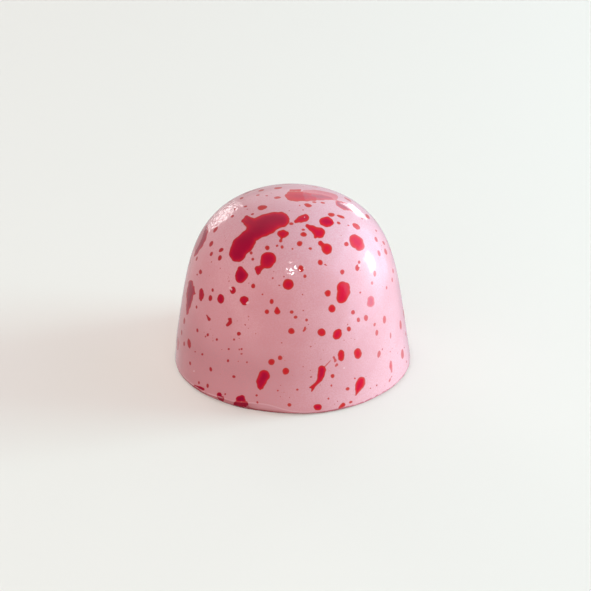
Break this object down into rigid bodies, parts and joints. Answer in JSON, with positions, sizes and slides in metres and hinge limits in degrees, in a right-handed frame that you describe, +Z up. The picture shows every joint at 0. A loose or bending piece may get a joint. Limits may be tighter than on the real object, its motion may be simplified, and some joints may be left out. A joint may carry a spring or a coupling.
{
  "type": "chocolate praline",
  "caption": "Squat domed moulded chocolate praline with a drafted round wall, a soft shoulder, a nearly flat crown and a flat base with a narrow turned-under edge.",
  "frame": {"origin": "middle of the flat base that the praline rests on", "axes": "+Z up along the dome's axis, -Y towards the front, +X to the right seen from the front"},
  "size_m": [0.029, 0.029, 0.0215],
  "materials": {
    "cocoa_butter_skin": "glossy pink cocoa butter skin with deep red splashes and fine specks, faint orange-peel texture, duller and darker band at the scraped foot"
  },
  "bodies": {
    "root": {"praline": "cocoa_butter_skin"}
  },
  "joints": []
}
